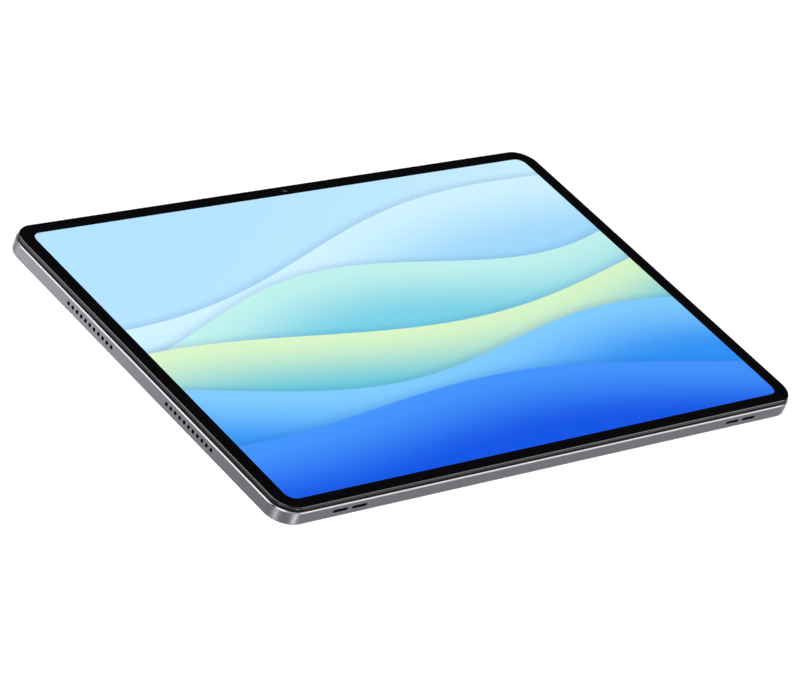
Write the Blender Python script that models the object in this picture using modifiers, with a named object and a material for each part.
"""A slim tablet computer, built as it comes apart on a bench.

Frame: the origin is the centre of the back face, +X runs along the long side, +Y towards the edge
that holds the front camera, and +Z out of the screen. Sizes below are in millimetres, and the
helper functions turn them into Blender's metres.
"""

import math

import bmesh
import bpy
from mathutils import Euler, Matrix, Vector

MM = 0.001

# Driving dimensions of the whole tablet
WIDTH, DEPTH, THICKNESS = 261.0, 166.0, 7.3
CORNER = 9.6
SCREEN_X, SCREEN_Y = 247.7, 154.8

# Aluminium casing
WALL, FLOOR, METAL_TOP = 1.8, 0.8, 5.5
BACK_ROUND, RIM_CHAMFER = 1.0, 0.4
INNER_X, INNER_Y = WIDTH / 2 - WALL, DEPTH / 2 - WALL
PORT_Z = 3.05

# Screen stack, from the glass down
GLASS_INSET, GLASS_THICK, GLASS_ROUND = 0.5, 0.75, 0.55
GLASS_Z = THICKNESS - GLASS_THICK
SURROUND_INSET, SURROUND_BAND, SKIRT_THICK, SKIRT_DROP = 0.55, 2.45, 0.7, 0.9
SEAL_THICK = 0.1
PANEL_X, PANEL_Y, PANEL_Z, PANEL_THICK = 249.4, 156.2, 5.78, 0.7
TRAY_X, TRAY_Y, TRAY_Z, TRAY_HEIGHT, TRAY_SHEET = 250.6, 156.6, 4.78, 0.95, 0.25
GUIDE_THICK = 0.6

# Clearance between pieces that only rest on or in each other
GAP = 0.05

# Speaker openings in the casing
HOLE_COUNT, HOLE_PITCH, HOLE_RADIUS, HOLE_FIRST_Y = 11, 2.6, 0.75, 16.5
SLOT_LONG, SLOT_HIGH, SLOT_XS = 7.0, 1.25, (94.8, 103.7)

# Keys
POWER_Y, POWER_LONG = 57.5, 10.0
VOLUME_X, VOLUME_LONG = 68.0, 22.0
KEY_HIGH, KEY_PROUD, KEY_CLEAR, KEY_TRAVEL = 1.8, 0.4, 0.2, 0.25
KEY_BACK = -(WALL + 0.75)

# Card tray, in the right-hand wall
TRAY_Y_AT, TRAY_FACE_LONG, TRAY_FACE_HIGH = -57.5, 15.4, 2.2
BLADE_LONG, BLADE_WIDE, BLADE_THICK = 21.0, 13.2, 1.0
EJECT_HOLE_OFFSET, EJECT_HOLE_RADIUS = 10.2, 0.5

# Charging socket, in the middle of the right-hand wall
SOCKET_WIDE, SOCKET_HIGH, SOCKET_LONG, SOCKET_SHEET = 8.94, 3.16, 7.2, 0.3

# Cameras and microphones
FRONT_CAMERA_Y, FRONT_CAMERA_RADIUS = 79.9, 1.15
REAR_CAMERA = (116.0, 60.5)
REAR_BEZEL_RADIUS = 5.1
MICROPHONE_X = 30.0

# Circuit boards, on bosses that stand on the floor
BOARD_Z, BOARD_THICK = 1.7, 0.8
BOARD_TOP = BOARD_Z + BOARD_THICK
BOSS_RADIUS, BOSS_BORE, BOSS_TOP = 2.0, 0.75, 1.6
BOARD_SCREWS = ((66.0, -58.0), (66.0, 58.0), (104.0, 58.0), (122.5, -69.5))
USB_SCREWS = ((114.0, -9.5), (114.0, 9.5))
POWER_SCREW = (122.9, 50.0)
VOLUME_SCREWS = ((56.5, 75.0), (79.5, 75.0))
BRACKET_SHEET = 0.4


def clear_scene():
    for obj in list(bpy.data.objects):
        bpy.data.objects.remove(obj, do_unlink=True)


def new_collection(name):
    made = bpy.data.collections.new(name)
    bpy.context.scene.collection.children.link(made)
    return made


def material(name, colour, roughness, metallic=0.0, alpha=1.0):
    made = bpy.data.materials.new(name)
    made.use_nodes = True
    shader = made.node_tree.nodes["Principled BSDF"]
    shader.inputs["Base Color"].default_value = (*colour, 1.0)
    shader.inputs["Roughness"].default_value = roughness
    shader.inputs["Metallic"].default_value = metallic
    shader.inputs["Alpha"].default_value = alpha
    return made


# Mesh helpers: each returns a bmesh in millimetres, standing on its own origin


def loft(rings, steps=3):
    """Rounded rectangles joined in order into one closed body; each is (size_x, size_y, corner, z)."""
    bm = bmesh.new()
    rows = []
    for size_x, size_y, corner, z in rings:
        row = []
        for quarter, (sign_x, sign_y) in enumerate(((1, 1), (-1, 1), (-1, -1), (1, -1))):
            for i in range(steps + 1):
                angle = (quarter + i / steps) * math.pi / 2
                x = sign_x * (size_x / 2 - corner) + corner * math.cos(angle)
                y = sign_y * (size_y / 2 - corner) + corner * math.sin(angle)
                row.append(bm.verts.new((x, y, z)))
        rows.append(row)
    bm.faces.new(reversed(rows[0]))
    bm.faces.new(rows[-1])
    for low, high in zip(rows, rows[1:]):
        for i, here in enumerate(low):
            after = (i + 1) % len(low)
            bm.faces.new((here, low[after], high[after], high[i]))
    return bm


def slab(size_x, size_y, height, corner=0.0, steps=4):
    """A flat block standing on z = 0, its four upright edges rounded."""
    if corner:
        return loft([(size_x, size_y, corner, 0), (size_x, size_y, corner, height)], steps)
    bm = bmesh.new()
    bmesh.ops.create_cube(bm, size=1.0)
    bmesh.ops.scale(bm, vec=(size_x, size_y, height), verts=bm.verts)
    bmesh.ops.translate(bm, vec=(0, 0, height / 2), verts=bm.verts)
    return bm


def stepped(size_x, size_y, height, corner, steps, *more):
    """A slab whose top carries on in steps; each of more is (inset from the outside, new height)."""
    rings = [(size_x, size_y, corner, 0), (size_x, size_y, corner, height)]
    level = height
    for inset, after in more:
        smaller = (size_x - 2 * inset, size_y - 2 * inset, max(corner - inset, 0.3))
        rings += [(*smaller, level), (*smaller, after)]
        level = after
    return loft(rings, steps)


def round_rim(bm, level, radius, steps):
    """Rounds, or with one step chamfers, the rim that lies at one height."""
    rim = [e for e in bm.edges if all(abs(v.co.z - level) < 1e-4 for v in e.verts)]
    bmesh.ops.bevel(bm, geom=rim, offset=radius, segments=steps, profile=0.5, affect="EDGES")
    return bm


def disc(radius, height, sides=24):
    """A cylinder standing on z = 0."""
    bm = bmesh.new()
    lift = Matrix.Translation((0, 0, height / 2))
    bmesh.ops.create_cone(
        bm, cap_ends=True, segments=sides, radius1=radius, radius2=radius, depth=height, matrix=lift
    )
    return bm


def end_face(bm, top=True):
    """The highest, or the lowest, level face."""
    return max(bm.faces, key=lambda f: f.calc_center_median().z * (1 if top else -1))


def step_face(bm, face, inset, rise):
    """Insets a level face and moves what is left out by rise, or in where rise is negative."""
    bmesh.ops.inset_individual(bm, faces=[face], thickness=inset, depth=0.0, use_even_offset=True)
    moved = bmesh.ops.extrude_discrete_faces(bm, faces=[face])["faces"][0]
    bmesh.ops.translate(bm, vec=moved.normal * rise, verts=moved.verts)
    return moved


def finish(name, bm, place, skin, home, turn=(0, 0, 0)):
    """Makes the bmesh an object in metres, at its place, with its material."""
    bmesh.ops.scale(bm, vec=(MM, MM, MM), verts=bm.verts)
    bmesh.ops.recalc_face_normals(bm, faces=bm.faces)
    mesh = bpy.data.meshes.new(name)
    bm.to_mesh(mesh)
    bm.free()
    return put(name, mesh, place, skin, home, turn)


def put(name, data, place, skin, home, turn=(0, 0, 0)):
    """Links data as an object, hung from the tablet's empty where it is a sub-part."""
    obj = bpy.data.objects.new(name, data)
    obj.location = Vector(place) * MM
    obj.rotation_euler = [math.radians(angle) for angle in turn]
    home.objects.link(obj)
    if skin is None:
        obj.hide_render = True
        obj.display_type = "WIRE"
    else:
        if not data.materials:
            data.materials.append(skin)
        obj.parent = bpy.data.objects["tablet"]
        if obj.type == "MESH":
            data.shade_smooth()
            data.set_sharp_from_angle(angle=math.radians(35))
    return obj


def beside(place, turn, offset):
    """The world place of an offset given in a piece's own turned frame."""
    own = Euler([math.radians(angle) for angle in turn]).to_matrix()
    return Vector(place) + own @ Vector(offset)


def cut_with(target, tools, operation="DIFFERENCE"):
    """One Boolean for a whole collection of tools."""
    modifier = target.modifiers.new(tools.name, "BOOLEAN")
    modifier.operation = operation
    modifier.solver = "EXACT"
    modifier.operand_type = "COLLECTION"
    modifier.collection = tools


def tools_for(name):
    made = new_collection(name)
    made.hide_render = True
    return made


def plate(name, outline, holes, thickness, place, skin, home):
    """A flat sheet from a 2D curve; holes are (x, y, radius)."""
    curve = bpy.data.curves.new(name, "CURVE")
    curve.dimensions = "2D"
    curve.fill_mode = "BOTH"
    curve.extrude = thickness * MM / 2
    rounds = [
        [(x + r * math.cos(a), y + r * math.sin(a)) for a in (i * math.tau / 12 for i in range(12))]
        for x, y, r in holes
    ]
    for loop in [outline, *rounds]:
        spline = curve.splines.new("POLY")
        spline.points.add(len(loop) - 1)
        spline.use_cyclic_u = True
        for point, (x, y) in zip(spline.points, loop):
            point.co = (x * MM, y * MM, 0, 1)
    lift = Vector(place) + Vector((0, 0, thickness / 2))
    return put(name, curve, lift, skin, home)


def strip(name, path, width, thickness, place, skin, home, turn=(0, 0, 0)):
    """A bent sheet: a path in X and Z, widened along Y, then thickened both ways."""
    bm = bmesh.new()
    rows = [[bm.verts.new((x, side * width / 2, z)) for side in (-1, 1)] for x, z in path]
    for a, b in zip(rows, rows[1:]):
        bm.faces.new((a[0], b[0], b[1], a[1]))
    obj = finish(name, bm, place, skin, home, turn)
    thick = obj.modifiers.new("sheet", "SOLIDIFY")
    thick.thickness = thickness * MM
    thick.offset = 0.0
    thick.use_even_offset = True
    return obj


def shell(name, bm, thickness, place, skin, home, turn=(0, 0, 0)):
    """An open surface given a wall on its inner side."""
    obj = finish(name, bm, place, skin, home, turn)
    wall = obj.modifiers.new("wall", "SOLIDIFY")
    wall.thickness = thickness * MM
    wall.offset = -1.0
    wall.use_even_offset = True
    return obj


def turned(name, profile, steps, place, skin, home):
    """A turned ring; the profile is (radius, z), closed, running down its outer side."""
    mesh = bpy.data.meshes.new(name)
    points = [(r * MM, 0, z * MM) for r, z in profile]
    mesh.from_pydata(points, [(i, (i + 1) % len(points)) for i in range(len(points))], [])
    obj = put(name, mesh, place, skin, home)
    spin = obj.modifiers.new("turn", "SCREW")
    spin.steps = spin.render_steps = steps
    spin.use_merge_vertices = True
    spin.merge_threshold = 1e-6
    spin.use_smooth_shade = True
    return obj


# Casing


def wall_hole(tools, name, at, along, high, side):
    """A round-ended tool through one side wall; side is '+X', '-X', '+Y' or '-Y'."""
    reach = WALL + 2.0
    end = 0.49 * min(along, high)
    out = (WIDTH if side[1] == "X" else DEPTH) / 2 + 1.0
    sign = 1 if side[0] == "+" else -1
    if side[1] == "X":
        tool = slab(high, along, reach, end)
        finish(name, tool, (sign * out, at, PORT_Z), None, tools, (0, -90 * sign, 0))
    else:
        tool = slab(along, high, reach, end)
        finish(name, tool, (at, sign * out, PORT_Z), None, tools, (90 * sign, 0, 0))


def casing_holes(tools):
    """Every opening of the casing: speakers, keys, sockets, microphones and the rear camera."""
    for side in ("+X", "-X"):
        for end in (1, -1):
            for i in range(HOLE_COUNT):
                y = end * (HOLE_FIRST_Y + i * HOLE_PITCH)
                tool = disc(HOLE_RADIUS, WALL + 2.0, 12)
                sign = 1 if side == "+X" else -1
                place = (sign * (WIDTH / 2 + 1.0), y, PORT_Z)
                finish(f"tool_hole_{side}_{end}_{i}", tool, place, None, tools, (0, -90 * sign, 0))
    for side in ("+Y", "-Y"):
        for end in (1, -1):
            for x in SLOT_XS:
                wall_hole(tools, f"tool_slot_{side}_{end}_{x}", end * x, SLOT_LONG, SLOT_HIGH, side)
    for x in (-MICROPHONE_X, MICROPHONE_X):
        place = (x, DEPTH / 2 + 1.0, PORT_Z)
        finish(f"tool_microphone_{x}", disc(0.5, WALL + 2.0, 12), place, None, tools, (90, 0, 0))
    key_high = KEY_HIGH + 2 * KEY_CLEAR
    wall_hole(tools, "tool_power", POWER_Y, POWER_LONG + 2 * KEY_CLEAR, key_high, "+X")
    wall_hole(tools, "tool_volume", VOLUME_X, VOLUME_LONG + 2 * KEY_CLEAR, key_high, "+Y")
    tray_clear = 0.15
    wall_hole(
        tools,
        "tool_card_tray",
        TRAY_Y_AT,
        TRAY_FACE_LONG + 2 * tray_clear,
        TRAY_FACE_HIGH + 2 * tray_clear,
        "+X",
    )
    wall_hole(tools, "tool_socket", 0.0, SOCKET_WIDE + 0.3, SOCKET_HIGH + 0.3, "+X")
    eject = (WIDTH / 2 + 1.0, TRAY_Y_AT - EJECT_HOLE_OFFSET, PORT_Z)
    pin_hole = disc(EJECT_HOLE_RADIUS, WALL + 2.0, 12)
    finish("tool_eject", pin_hole, eject, None, tools, (0, -90, 0))
    finish("tool_rear_camera", disc(REAR_BEZEL_RADIUS + 0.1, 3.0, 32), (*REAR_CAMERA, -1.0), None, tools)


def rear_housing(home, skin):
    """One-piece aluminium back with its side walls: a rounded block, hollowed, with screw bosses."""
    block = slab(WIDTH, DEPTH, METAL_TOP, CORNER, 9)
    round_rim(block, 0.0, BACK_ROUND, 3)
    round_rim(block, METAL_TOP, RIM_CHAMFER, 1)
    casing = finish("rear_housing", block, (0, 0, 0), skin, home)

    pocket = tools_for("tools_pocket")
    hollow = slab(2 * INNER_X, 2 * INNER_Y, METAL_TOP, CORNER - WALL, 6)
    finish("tool_pocket", hollow, (0, 0, FLOOR), None, pocket)
    cut_with(casing, pocket)

    bosses = tools_for("tools_bosses")
    for i, (x, y) in enumerate(all_screws()):
        finish(f"boss_{i}", disc(BOSS_RADIUS, BOSS_TOP - 0.4, 16), (x, y, 0.4), None, bosses)
    cut_with(casing, bosses, "UNION")

    holes = tools_for("tools_openings")
    for i, (x, y) in enumerate(all_screws()):
        finish(f"tool_bore_{i}", disc(BOSS_BORE, 2.0, 12), (x, y, 0.45), None, holes)
    casing_holes(holes)
    cut_with(casing, holes)


def all_screws():
    return [*BOARD_SCREWS, *USB_SCREWS, POWER_SCREW, *VOLUME_SCREWS]


# Screen


def screen_stack(home, skins):
    glass = slab(WIDTH - 2 * GLASS_INSET, DEPTH - 2 * GLASS_INSET, GLASS_THICK, CORNER - GLASS_INSET, 9)
    round_rim(glass, GLASS_THICK, GLASS_ROUND, 3)
    finish("cover_glass", glass, (0, 0, GLASS_Z), skins["glass"], home)

    panel = slab(PANEL_X, PANEL_Y, PANEL_THICK, 4.0, 4)
    finish("display_panel", panel, (0, 0, PANEL_Z), skins["display"], home)

    tray = slab(TRAY_X, TRAY_Y, TRAY_HEIGHT, 3.0, 4)
    bmesh.ops.delete(tray, geom=[end_face(tray)], context="FACES_ONLY")
    shell("backlight_tray", tray, TRAY_SHEET, (0, 0, TRAY_Z), skins["steel"], home)

    inside = 2 * (TRAY_SHEET + GAP)
    guide = slab(TRAY_X - inside, TRAY_Y - inside, GUIDE_THICK, 2.6, 4)
    finish("light_guide", guide, (0, 0, TRAY_Z + TRAY_SHEET + GAP), skins["light_guide"], home)

    seal_z = METAL_TOP + 0.03
    seal_x, seal_y = WIDTH - 2 * 0.7, DEPTH - 2 * 0.7
    seal = slab(seal_x, seal_y, SEAL_THICK, CORNER - 0.7, 8)
    ring = finish("display_seal", seal, (0, 0, seal_z), skins["foam"], home)
    window = tools_for("tools_seal")
    opening = slab(seal_x - 2.0, seal_y - 2.0, 2.0, CORNER - 1.7, 8)
    finish("tool_seal", opening, (0, 0, seal_z - 1.0), None, window)
    cut_with(ring, window)


def display_surround(home, skin):
    """Black moulded frame between the metal and the glass, with a skirt that drops into the casing."""
    base_z = METAL_TOP + 0.03 + SEAL_THICK + 0.03
    height = GLASS_Z - GAP - base_z
    size_x, size_y = WIDTH - 2 * SURROUND_INSET, DEPTH - 2 * SURROUND_INSET
    flange = slab(size_x, size_y, height, CORNER - SURROUND_INSET, 9)
    frame = finish("display_surround", flange, (0, 0, base_z), skin, home)

    skirt = tools_for("tools_skirt")
    inner_clear = 0.12
    skirt_x, skirt_y = 2 * (INNER_X - inner_clear), 2 * (INNER_Y - inner_clear)
    drop = slab(skirt_x, skirt_y, SKIRT_DROP + height / 2, CORNER - WALL - inner_clear, 6)
    finish("tool_skirt", drop, (0, 0, base_z - SKIRT_DROP), None, skirt)
    cut_with(frame, skirt, "UNION")

    window = tools_for("tools_window")
    open_x, open_y = skirt_x - 2 * SKIRT_THICK, skirt_y - 2 * SKIRT_THICK
    opening = slab(open_x, open_y, 5.0, CORNER - WALL - inner_clear - SKIRT_THICK, 6)
    finish("tool_window", opening, (0, 0, base_z - 2.5), None, window)
    notch = slab(8.0, 4.0, 5.0)
    finish("tool_camera_notch", notch, (0, INNER_Y - 2.0 + 0.1, base_z - 2.5), None, window)
    cut_with(frame, window)


# Cameras


def cameras(home, skins):
    base_z, base_height = 1.5, 2.9
    front = slab(6.0, 4.6, base_height, 0.4, 2)
    camera = finish("front_camera", front, (0, 78.6, base_z), skins["camera"], home)
    barrel = tools_for("tools_front_camera")
    tube = disc(FRONT_CAMERA_RADIUS, GLASS_Z - GAP - base_z - base_height + 0.5, 20)
    step_face(tube, end_face(tube), 0.35, -0.4)
    finish("tool_barrel", tube, (0, FRONT_CAMERA_Y, base_z + base_height - 0.5), None, barrel)
    cut_with(camera, barrel, "UNION")

    outer, window, lip, flange = REAR_BEZEL_RADIUS, 4.15, 3.2, 6.2
    profile = [
        (outer - 0.2, 0.05),
        (window, 0.05),
        (window, 0.55),
        (lip, 0.55),
        (lip, 1.15),
        (flange, 1.15),
        (flange, FLOOR + GAP),
        (outer, FLOOR + GAP),
        (outer, 0.25),
    ]
    turned("rear_camera_bezel", profile, 32, (*REAR_CAMERA, 0), skins["polished"], home)
    finish(
        "rear_camera_window",
        disc(window - GAP, 0.35, 32),
        (*REAR_CAMERA, 0.15),
        skins["camera_glass"],
        home,
    )
    body_size, body_height, barrel_radius = 8.4, 2.2, 3.9
    module = disc(barrel_radius, 1.0, 28)
    lens = step_face(module, end_face(module), 1.0, 0.35)
    step_face(module, lens, 1.4, -0.5)
    module_z = 2.55
    rear = finish(
        "rear_camera_module", module, (*REAR_CAMERA, module_z), skins["camera"], home, (180, 0, 0)
    )
    block = tools_for("tools_rear_camera")
    body = slab(body_size, body_size, body_height, 0.6, 2)
    finish("tool_module", body, (*REAR_CAMERA, module_z - 0.5), None, block)
    cut_with(rear, block, "UNION")


# Boards and what they carry


def rectangle(x0, y0, x1, y1):
    return [(x0, y0), (x1, y0), (x1, y1), (x0, y1)]


def boards(home, skins):
    left, right, low, high = 62.0, 108.0, -63.5, 63.0
    reader_right, reader_low, reader_high = 126.0, -73.0, -48.0
    outline = [
        (left, low),
        (112.5, low),
        (112.5, reader_low),
        (reader_right, reader_low),
        (reader_right, reader_high),
        (right, reader_high),
        (right, high),
        (left, high),
    ]
    bores = [(x, y, 0.9) for x, y in BOARD_SCREWS]
    plate("main_board", outline, bores, BOARD_THICK, (0, 0, BOARD_Z), skins["board"], home)

    chips = {
        "processor": ((85.0, 20.0), (15.0, 15.0, 0.9), "chip"),
        "memory_chip": ((85.0, 2.5), (12.0, 12.4, 0.8), "chip"),
        "storage_chip": ((85.0, -14.0), (11.5, 13.0, 0.9), "chip"),
        "power_chip": ((82.0, -37.0), (8.0, 8.0, 0.8), "chip"),
        "radio_chip": ((96.0, -37.0), (9.0, 7.0, 0.8), "chip"),
    }
    for name, ((x, y), (size_x, size_y, height), skin) in chips.items():
        chip = stepped(size_x, size_y, height, 0.3, 1, (0.5, height + 0.08))
        finish(name, chip, (x, y, BOARD_TOP + GAP), skins[skin], home)

    cans = {"processor_shield": (85.0, 4.0, 24.0, 56.0), "power_shield": (89.0, -37.0, 28.0, 14.0)}
    for name, (x, y, size_x, size_y) in cans.items():
        can = slab(size_x, size_y, 1.5, 0.8, 2)
        bmesh.ops.delete(can, geom=[end_face(can, top=False)], context="FACES_ONLY")
        shell(name, can, 0.2, (x, y, BOARD_TOP + GAP), skins["steel"], home)
    spreader = slab(34.0, 66.0, 0.12, 2.0, 3)
    finish("heat_spreader", spreader, (85.0, 4.0, BOARD_TOP + 1.5 + 2 * GAP), skins["graphite"], home)

    half, back, notch_x, notch_y = 13.0, 110.5, 122.8, SOCKET_WIDE / 2 + 0.3
    usb_outline = [
        (back, -half),
        (127.6, -half),
        (127.6, -notch_y),
        (notch_x, -notch_y),
        (notch_x, notch_y),
        (127.6, notch_y),
        (127.6, half),
        (back, half),
    ]
    usb_bores = [(x, y, 0.9) for x, y in USB_SCREWS]
    plate("usb_board", usb_outline, usb_bores, BOARD_THICK, (0, 0, BOARD_Z), skins["board"], home)


def usb_socket(home, skins):
    """Metal sleeve open towards the wall, and the tongue that carries the contacts."""
    front = WIDTH / 2 - 0.2
    sleeve = slab(SOCKET_HIGH, SOCKET_WIDE, SOCKET_LONG, 0.49 * SOCKET_HIGH, 5)
    bmesh.ops.delete(sleeve, geom=[end_face(sleeve)], context="FACES_ONLY")
    place = (front - SOCKET_LONG, 0, PORT_Z)
    shell("usb_socket_shell", sleeve, SOCKET_SHEET, place, skins["steel"], home, (0, 90, 0))

    inside_high = SOCKET_HIGH - 2 * SOCKET_SHEET - 2 * GAP
    inside_wide = SOCKET_WIDE - 2 * SOCKET_SHEET - 2 * GAP
    base = slab(inside_high, inside_wide, 1.2, 0.48 * inside_high, 5)
    tongue_x = front - SOCKET_LONG + SOCKET_SHEET + GAP
    tongue = finish("usb_socket_tongue", base, (tongue_x, 0, PORT_Z), skins["plastic"], home, (0, 90, 0))
    blade = tools_for("tools_tongue")
    tool = slab(0.7, 6.7, SOCKET_LONG - SOCKET_SHEET - 1.3, 0.2, 2)
    finish("tool_tongue", tool, (tongue_x + 0.5, 0, PORT_Z), None, blade, (0, 90, 0))
    cut_with(tongue, blade, "UNION")


def flexes(home, skins):
    """Ribbon cables: between the boards, from the battery, and from the screen."""
    low = BOARD_TOP + GAP + 0.06
    arch = [(-6.0, low), (-3.0, low), (-1.5, low + 0.5), (1.5, low + 0.5), (3.0, low), (6.0, low)]
    strip("usb_flex", arch, 14.0, 0.12, (109.3, 0, 0), skins["flex"], home)
    battery_path = [(57.5, 2.35), (60.5, 2.35), (61.6, low), (69.0, low)]
    strip("battery_flex", battery_path, 12.0, 0.12, (0, 32.0, 0), skins["flex"], home)
    edge, under = -(TRAY_Y / 2 + 0.55), TRAY_Z - 0.16
    screen_path = [
        (-PANEL_Y / 2 - 0.12, PANEL_Z + 0.35),
        (edge, PANEL_Z + 0.3),
        (edge, under + 0.3),
        (edge + 0.4, under),
        (-66.0, under),
        (-61.5, low),
        (-56.0, low),
    ]
    # The path is drawn in X and Z; a quarter turn about Z lays it along Y
    strip("display_flex", screen_path, 12.0, 0.12, (74.0, 0, 0), skins["flex"], home, (0, 0, 90))


def battery(home, skins):
    wide, tall, thick = 79.0, 118.0, 3.3
    for name, x in (("battery_cell_left", -66.5), ("battery_cell_right", 15.5)):
        cell = slab(wide, tall, thick, 3.0, 3)
        round_rim(cell, 0.0, 0.6, 2)
        round_rim(cell, thick, 0.6, 2)
        finish(name, cell, (x, 0, FLOOR + 0.15), skins["battery"], home)
    guard = stepped(4.4, 84.0, 1.0, 0.5, 2, (0.8, 1.25))
    finish("battery_board", guard, (58.0, 0, FLOOR + 0.2), skins["board"], home)


# Sound


def speaker_mesh(long, deep, high, nose_long, nose_high):
    """A sealed speaker box lying on z = 0, its port nose on the +Y side, its cone on top."""
    cone = ((1.6, high - 0.45), (2.5, high - 0.15), (3.7, high - 0.3))
    bm = stepped(long, deep, high, 1.5, 3, *cone)
    front = max(bm.faces, key=lambda f: f.calc_center_median().y)
    nose = bmesh.ops.extrude_discrete_faces(bm, faces=[front])["faces"][0]
    middle = nose.calc_center_median()
    span = long - 3.0
    for vert in nose.verts:
        vert.co.x = middle.x + (vert.co.x - middle.x) * nose_long / span
        vert.co.z = PORT_Z - FLOOR - 0.15 + (vert.co.z - middle.z) * nose_high / high
        vert.co.y += 0.9
    bmesh.ops.scale(bm, vec=(MM, MM, MM), verts=bm.verts)
    bmesh.ops.recalc_face_normals(bm, faces=bm.faces)
    mesh = bpy.data.meshes.new(f"speaker_{long:.0f}")
    bm.to_mesh(mesh)
    bm.free()
    return mesh


def speakers(home, skins):
    """Eight speakers, one behind each group of openings."""
    base, nose, clear = FLOOR + 0.15, 0.9, 0.35
    side_long, side_deep, end_long, end_deep, high = 31.0, 15.0, 21.0, 13.0, 3.45
    side_mesh = speaker_mesh(side_long, side_deep, high, 27.5, 2.4)
    end_mesh = speaker_mesh(end_long, end_deep, high, 17.0, 2.4)
    middle_y = HOLE_FIRST_Y + HOLE_PITCH * (HOLE_COUNT - 1) / 2
    at_x = INNER_X - clear - nose - side_deep / 2
    middle_x = sum(SLOT_XS) / 2
    at_y = INNER_Y - clear - nose - end_deep / 2
    for word_y, sign_y in (("upper", 1), ("lower", -1)):
        for word_x, sign_x in (("left", -1), ("right", 1)):
            place = (sign_x * at_x, sign_y * middle_y, base)
            name = f"speaker_{word_x}_{word_y}"
            put(name, side_mesh, place, skins["speaker"], home, (0, 0, -90 * sign_x))
            place = (sign_x * middle_x, sign_y * at_y, base)
            name = f"speaker_{'top' if sign_y > 0 else 'bottom'}_{word_x}"
            put(name, end_mesh, place, skins["speaker"], home, (0, 0, 0 if sign_y > 0 else 180))


def microphones(home, skins):
    for name, x in (("microphone_left", -MICROPHONE_X), ("microphone_right", MICROPHONE_X)):
        can = stepped(3.6, 2.8, 1.1, 0.25, 2, (1.0, 0.8))
        place = (x, INNER_Y - 0.2 - 1.1, PORT_Z)
        finish(name, can, place, skins["steel"], home, (-90, 0, 0))


def antennas(home, skins):
    """Moulded carriers for the radio aerials, in the two left-hand corners."""
    for name, sign in (("antenna_top_left", 1), ("antenna_bottom_left", -1)):
        carrier = stepped(12.0, 22.0, 2.6, 1.5, 2, (1.5, 2.85))
        finish(name, carrier, (-120.5, sign * 60.0, FLOOR + 0.15), skins["plastic"], home)


# Keys, each with its switch and its bracket


def side_key(name, place, turn, long, lugs, home, skin):
    """A key whose face looks along the turned +Z; each lug is (offset along the key, length, height)."""
    cap_deep = WALL + 0.2 + KEY_PROUD
    cap = slab(long, KEY_HIGH, cap_deep, 0.49 * KEY_HIGH, 5)
    round_rim(cap, cap_deep, 0.15, 2)
    bmesh.ops.translate(cap, vec=(0, 0, KEY_PROUD - cap_deep), verts=cap.verts)
    key = finish(name, cap, place, skin, home, turn)
    tools = tools_for(f"tools_{name}")
    for i, (offset, lug_long, lug_high) in enumerate(lugs):
        lug = slab(lug_long, lug_high, 0.6, 0.3, 1)
        spot = beside(place, turn, (offset, 0, KEY_BACK))
        finish(f"tool_{name}_{i}", lug, spot, None, tools, turn)
    cut_with(key, tools, "UNION")


def switch_board(name, place, turn, long, domes, home, skin):
    """A stiffened strip of ribbon with one dome behind each pressing point of its key."""
    back = KEY_BACK - KEY_TRAVEL - 0.05 - 0.75
    film = stepped(long, 3.0, 0.35, 0.3, 1, (0.2, 0.45))
    board = finish(name, film, beside(place, turn, (0, 0, back)), skin, home, turn)
    tools = tools_for(f"tools_{name}")
    for i, offset in enumerate(domes):
        spot = beside(place, turn, (offset, 0, back + 0.15))
        finish(f"tool_{name}_{i}", disc(1.4, 0.6, 16), spot, None, tools, turn)
    cut_with(board, tools, "UNION")
    return back


def bracket(name, wall_back, foot, width, screws, trims, middle, along_x, home, skin):
    """Sheet steel bent to an L: it stands behind a switch board, and its foot is screwed to a boss."""
    foot_z = BOSS_TOP + GAP + BRACKET_SHEET / 2
    stand = wall_back - GAP - BRACKET_SHEET / 2
    path = [(stand, 4.3), (stand, foot_z), (foot, foot_z)]
    place, turn = ((middle, 0, 0), (0, 0, 90)) if along_x else ((0, middle, 0), (0, 0, 0))
    holder = strip(name, path, width, BRACKET_SHEET, place, skin, home, turn)
    tools = tools_for(f"tools_{name}")
    for i, (x, y) in enumerate(screws):
        finish(f"tool_{name}_screw_{i}", disc(0.9, 2.0, 12), (x, y, 1.0), None, tools)
    for i, (x, y, size_x, size_y) in enumerate(trims):
        finish(f"tool_{name}_trim_{i}", slab(size_x, size_y, 2.0), (x, y, 1.0), None, tools)
    cut_with(holder, tools)


def power_key(home, skins):
    place, turn = (WIDTH / 2, POWER_Y, PORT_Z), (90, 0, 90)
    side_key(
        "power_button", place, turn, POWER_LONG, [(0, POWER_LONG + 2.2, 2.7)], home, skins["key"]
    )
    back = switch_board("power_switch", place, turn, 11.0, [0], home, skins["flex"])
    stand = WIDTH / 2 + back
    screw_x, screw_y = POWER_SCREW
    trims = [(stand - 4.2, POWER_Y + 2.5, 6.0, 13.0)]
    foot, middle = screw_x - 2.0, (screw_y - 2.3 + POWER_Y + 6.0) / 2
    width = POWER_Y + 6.0 - (screw_y - 2.3)
    screws = [POWER_SCREW]
    bracket("power_bracket", stand, foot, width, screws, trims, middle, False, home, skins["steel"])


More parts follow.
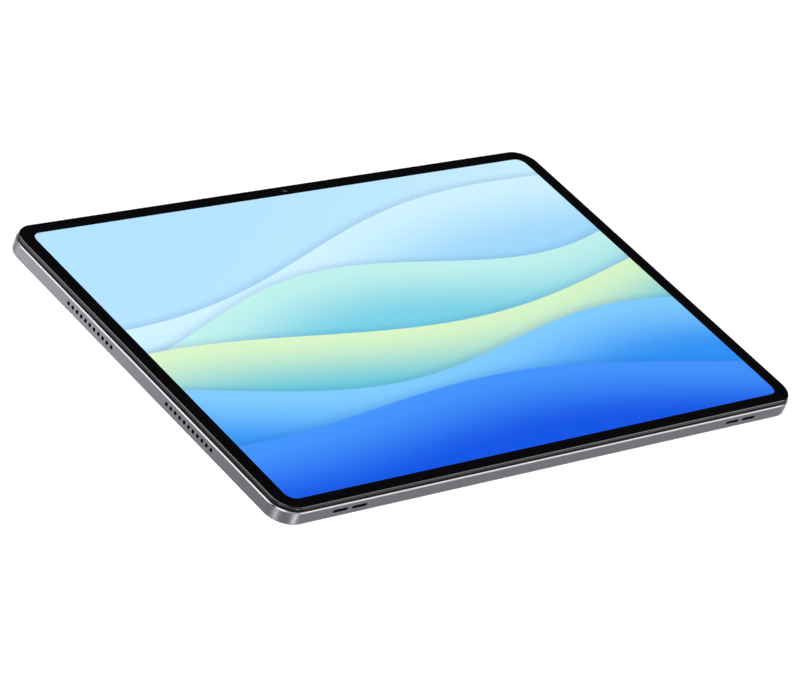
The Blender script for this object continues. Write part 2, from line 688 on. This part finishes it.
def volume_key(home, skins):
    place, turn = (VOLUME_X, DEPTH / 2, PORT_Z), (-90, 0, 0)
    press = 8.0
    lugs = [(0, 9.0, 2.7), (-press, 2.0, 1.4), (press, 2.0, 1.4)]
    side_key("volume_rocker", place, turn, VOLUME_LONG, lugs, home, skins["key"])
    domes = [-press, press]
    back = switch_board("volume_switches", place, turn, 24.0, domes, home, skins["flex"])
    stand = DEPTH / 2 + back
    foot, middle = VOLUME_SCREWS[0][1] - 1.8, sum(x for x, y in VOLUME_SCREWS) / 2
    trims = [(middle, stand - 4.2, 17.0, 6.0)]
    bracket(
        "volume_bracket", stand, foot, 27.5, VOLUME_SCREWS, trims, middle, True, home, skins["steel"]
    )


# Card tray and its reader


def card_parts(home, skins):
    outer = WIDTH / 2
    cage_long, cage_wide, cage_high, cage_sheet = BLADE_LONG + 1.2, 14.6, 1.75, 0.15
    blade_z = BOARD_TOP + GAP + cage_high / 2
    cage = slab(cage_high, cage_wide, cage_long)
    bmesh.ops.delete(cage, geom=[end_face(cage)], context="FACES_ONLY")
    place = (outer - WALL - 0.4 - cage_long, TRAY_Y_AT, blade_z)
    shell("card_socket", cage, cage_sheet, place, skins["steel"], home, (0, 90, 0))

    face = slab(TRAY_FACE_LONG, TRAY_FACE_HIGH, WALL - 0.3, 0.49 * TRAY_FACE_HIGH, 5)
    bmesh.ops.translate(face, vec=(0, 0, 0.3 - WALL), verts=face.verts)
    tray = finish("card_tray", face, (outer, TRAY_Y_AT, PORT_Z), skins["key"], home, (90, 0, 90))
    blade = tools_for("tools_card_blade")
    length = BLADE_LONG + 1.0
    body = slab(length, BLADE_WIDE, BLADE_THICK, 0.8, 2)
    middle = (outer - WALL + 1.0 - length / 2, TRAY_Y_AT, blade_z - BLADE_THICK / 2)
    finish("tool_blade", body, middle, None, blade)
    cut_with(tray, blade, "UNION")
    recess = tools_for("tools_card_recess")
    card_x = outer - WALL - 1.6 - 15.2 / 2
    seat = slab(15.2, 11.2, 1.0, 0.6, 2)
    finish("tool_card_seat", seat, (card_x, TRAY_Y_AT, blade_z - 0.2), None, recess)
    opening = slab(12.0, 8.0, 3.0, 0.6, 2)
    finish("tool_card_open", opening, (card_x, TRAY_Y_AT, blade_z - 1.5), None, recess)
    cut_with(tray, recess)


# Screws


def screw_mesh():
    """A small pan-head screw, its head standing on z = 0 and its shank below."""
    bm = disc(1.3, 0.5, 16)
    step_face(bm, end_face(bm), 0.7, -0.25)
    step_face(bm, end_face(bm, top=False), 0.65, 1.25)
    bmesh.ops.scale(bm, vec=(MM, MM, MM), verts=bm.verts)
    bmesh.ops.recalc_face_normals(bm, faces=bm.faces)
    mesh = bpy.data.meshes.new("screw")
    bm.to_mesh(mesh)
    bm.free()
    return mesh


def screws(home, skins):
    mesh = screw_mesh()
    on_board = BOARD_TOP + GAP
    on_bracket = BOSS_TOP + BRACKET_SHEET + 2 * GAP
    groups = (
        ("board_screw", BOARD_SCREWS, on_board),
        ("usb_screw", USB_SCREWS, on_board),
        ("power_screw", (POWER_SCREW,), on_bracket),
        ("volume_screw", VOLUME_SCREWS, on_bracket),
    )
    for name, places, height in groups:
        for i, (x, y) in enumerate(places, 1):
            put(f"{name}_{i}", mesh, (x, y, height), skins["screw"], home)


def main():
    clear_scene()
    home = new_collection("tablet_parts")
    frame = bpy.data.objects.new("tablet", None)
    home.objects.link(frame)
    skins = {
        "aluminium": material("anodised aluminium", (0.30, 0.29, 0.32), 0.38, 1.0),
        "key": material("anodised key", (0.30, 0.29, 0.32), 0.35, 1.0),
        "polished": material("polished ring", (0.55, 0.55, 0.58), 0.2, 1.0),
        "surround": material("black moulding", (0.015, 0.015, 0.017), 0.4),
        "glass": material("cover glass", (0.01, 0.01, 0.012), 0.05, 0.0, 0.35),
        "camera_glass": material("camera glass", (0.02, 0.02, 0.025), 0.05, 0.0, 0.5),
        "display": material("display", (0.35, 0.65, 0.95), 0.3),
        "light_guide": material("light guide", (0.9, 0.9, 0.88), 0.3),
        "steel": material("sheet steel", (0.6, 0.6, 0.6), 0.35, 1.0),
        "foam": material("foam tape", (0.02, 0.02, 0.02), 0.9),
        "camera": material("camera body", (0.03, 0.03, 0.03), 0.4),
        "board": material("circuit board", (0.02, 0.16, 0.10), 0.4),
        "chip": material("chip resin", (0.04, 0.04, 0.04), 0.5),
        "graphite": material("graphite sheet", (0.1, 0.1, 0.1), 0.5, 0.5),
        "flex": material("ribbon film", (0.45, 0.22, 0.06), 0.35),
        "battery": material("battery pouch", (0.08, 0.08, 0.09), 0.45),
        "speaker": material("speaker box", (0.04, 0.04, 0.045), 0.5),
        "plastic": material("black plastic", (0.03, 0.03, 0.03), 0.5),
        "screw": material("plated steel", (0.5, 0.5, 0.5), 0.3, 1.0),
    }
    rear_housing(home, skins["aluminium"])
    display_surround(home, skins["surround"])
    screen_stack(home, skins)
    cameras(home, skins)
    boards(home, skins)
    usb_socket(home, skins)
    flexes(home, skins)
    battery(home, skins)
    speakers(home, skins)
    microphones(home, skins)
    antennas(home, skins)
    power_key(home, skins)
    volume_key(home, skins)
    card_parts(home, skins)
    screws(home, skins)


main()
